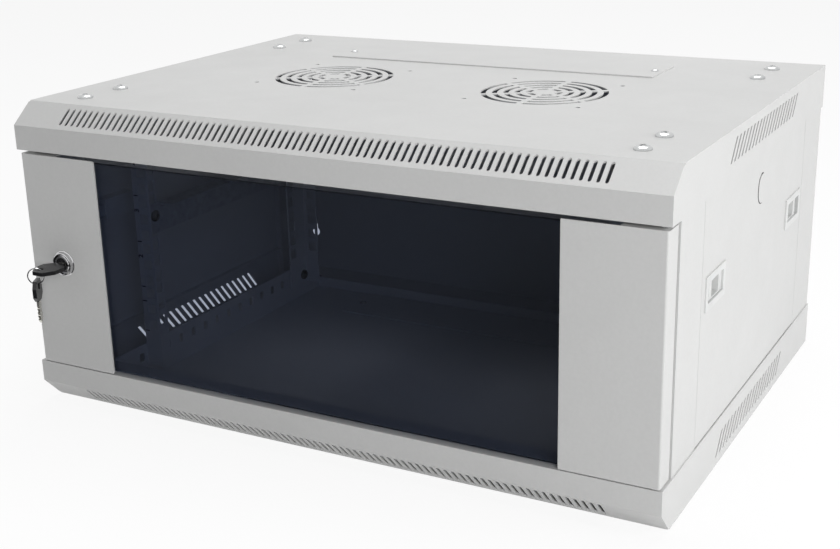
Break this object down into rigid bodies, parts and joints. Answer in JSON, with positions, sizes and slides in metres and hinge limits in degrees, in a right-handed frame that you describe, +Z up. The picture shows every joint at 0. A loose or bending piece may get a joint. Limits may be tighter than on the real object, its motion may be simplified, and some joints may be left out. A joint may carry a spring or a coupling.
{
  "type": "wall mount network cabinet",
  "caption": "Shallow wall mount network cabinet with vented folded covers, glass door with key lock and pin hinges, removable latched side panels and rack posts inside",
  "frame": {"origin": "centre of the base's underside", "axes": "+X to the right seen from the front, +Y to the wall, +Z up"},
  "size_m": [0.6, 0.4882, 0.2836],
  "materials": {
    "powder_coat": "light grey textured powder coat",
    "zinc": "bright zinc plated",
    "raw_zinc": "galvanised",
    "lock_chrome": "polished",
    "black_bolt": "black oxide",
    "white_plastic": "satin",
    "tinted_glass": "grey tinted safety glass",
    "foam_tape": "foam tape",
    "key_steel": "nickel plated",
    "key_plastic": "moulded"
  },
  "bodies": {
    "case": {"top_cover": "powder_coat", "bottom_cover": "powder_coat", "back_panel": "powder_coat", "left_front_pillar": "powder_coat", "right_front_pillar": "powder_coat", "top_cable_cover": "powder_coat", "bottom_cable_cover": "powder_coat", "top_cover_screws": "zinc", "bottom_cover_screws": "zinc", "cable_cover_screws": "zinc", "left_bottom_rail": "powder_coat", "right_bottom_rail": "powder_coat", "left_top_rail": "powder_coat", "right_top_rail": "powder_coat", "left_front_post": "powder_coat", "right_front_post": "powder_coat", "left_rear_post": "powder_coat", "right_rear_post": "powder_coat", "left_support_rail": "raw_zinc", "right_support_rail": "raw_zinc", "post_bolts": "black_bolt", "post_nuts": "zinc", "support_rail_bolts": "black_bolt", "lower_hinge_pin": "zinc", "hinge_washer": "white_plastic"},
    "door": {"door_glass": "tinted_glass", "left_door_strip": "powder_coat", "right_door_strip": "powder_coat", "left_glass_tape": "foam_tape", "right_glass_tape": "foam_tape", "lock_housing": "lock_chrome", "lock_nut": "zinc", "upper_hinge_bracket": "zinc", "pin_spring": "zinc"},
    "upper_pin": {"upper_hinge_pin": "zinc"},
    "plug": {"lock_plug": "lock_chrome", "lock_cam": "zinc", "cam_screw": "zinc"},
    "key": {"key_bow": "key_plastic", "key_blade": "key_steel"},
    "ring": {"key_ring": "key_steel"},
    "spare_key": {"spare_key_bow": "key_plastic", "spare_key_blade": "key_steel"},
    "left_panel": {"left_side_panel": "powder_coat", "left_front_latch_housing": "white_plastic", "left_rear_latch_housing": "white_plastic"},
    "right_panel": {"right_side_panel": "powder_coat", "right_front_latch_housing": "white_plastic", "right_rear_latch_housing": "white_plastic"},
    "left_front_slider": {"left_front_latch": "white_plastic"},
    "left_rear_slider": {"left_rear_latch": "white_plastic"},
    "right_front_slider": {"right_front_latch": "white_plastic"},
    "right_rear_slider": {"right_rear_latch": "white_plastic"}
  },
  "joints": [
    {"name": "door_hinge", "type": "hinge", "parent": "case", "child": "door", "pos_m": [0.292, -0.2155, 0.14], "axis": [0, 0, 1], "range_deg": [0, 180]},
    {"name": "upper_pin_slide", "type": "slide", "parent": "door", "child": "upper_pin", "axis": [0, 0, -1], "range_m": [0, 0.009], "stiffness_N_per_m": 400, "springref_m": -0.004, "deforming": ["pin_spring"]},
    {"name": "lock_turn", "type": "hinge", "parent": "door", "child": "plug", "pos_m": [-0.258, -0.225, 0.14], "axis": [0, 1, 0], "range_deg": [0, 90]},
    {"name": "key_pull", "type": "slide", "parent": "plug", "child": "key", "axis": [0, -1, 0], "range_m": [0, 0.03]},
    {"name": "ring_swing", "type": "hinge", "parent": "key", "child": "ring", "pos_m": [-0.26544, -0.25411, 0.14205], "axis": [0.8755, 0.4833, 0], "range_deg": [-15, 15]},
    {"name": "spare_key_swing", "type": "hinge", "parent": "ring", "child": "spare_key", "pos_m": [-0.26544, -0.25411, 0.12825], "axis": [0.8755, 0.4833, 0], "range_deg": [-25, 25]},
    {"name": "left_panel_lift_off", "type": "slide", "parent": "case", "child": "left_panel", "axis": [-1, 0, 0], "range_m": [0, 0.1]},
    {"name": "right_panel_lift_off", "type": "slide", "parent": "case", "child": "right_panel", "axis": [1, 0, 0], "range_m": [0, 0.1]},
    {"name": "left_front_latch_slide", "type": "slide", "parent": "left_panel", "child": "left_front_slider", "axis": [0, -1, 0], "range_m": [0, 0.0064]},
    {"name": "left_rear_latch_slide", "type": "slide", "parent": "left_panel", "child": "left_rear_slider", "axis": [0, 1, 0], "range_m": [0, 0.0064]},
    {"name": "right_front_latch_slide", "type": "slide", "parent": "right_panel", "child": "right_front_slider", "axis": [0, -1, 0], "range_m": [0, 0.0064]},
    {"name": "right_rear_latch_slide", "type": "slide", "parent": "right_panel", "child": "right_rear_slider", "axis": [0, 1, 0], "range_m": [0, 0.0064]}
  ]
}
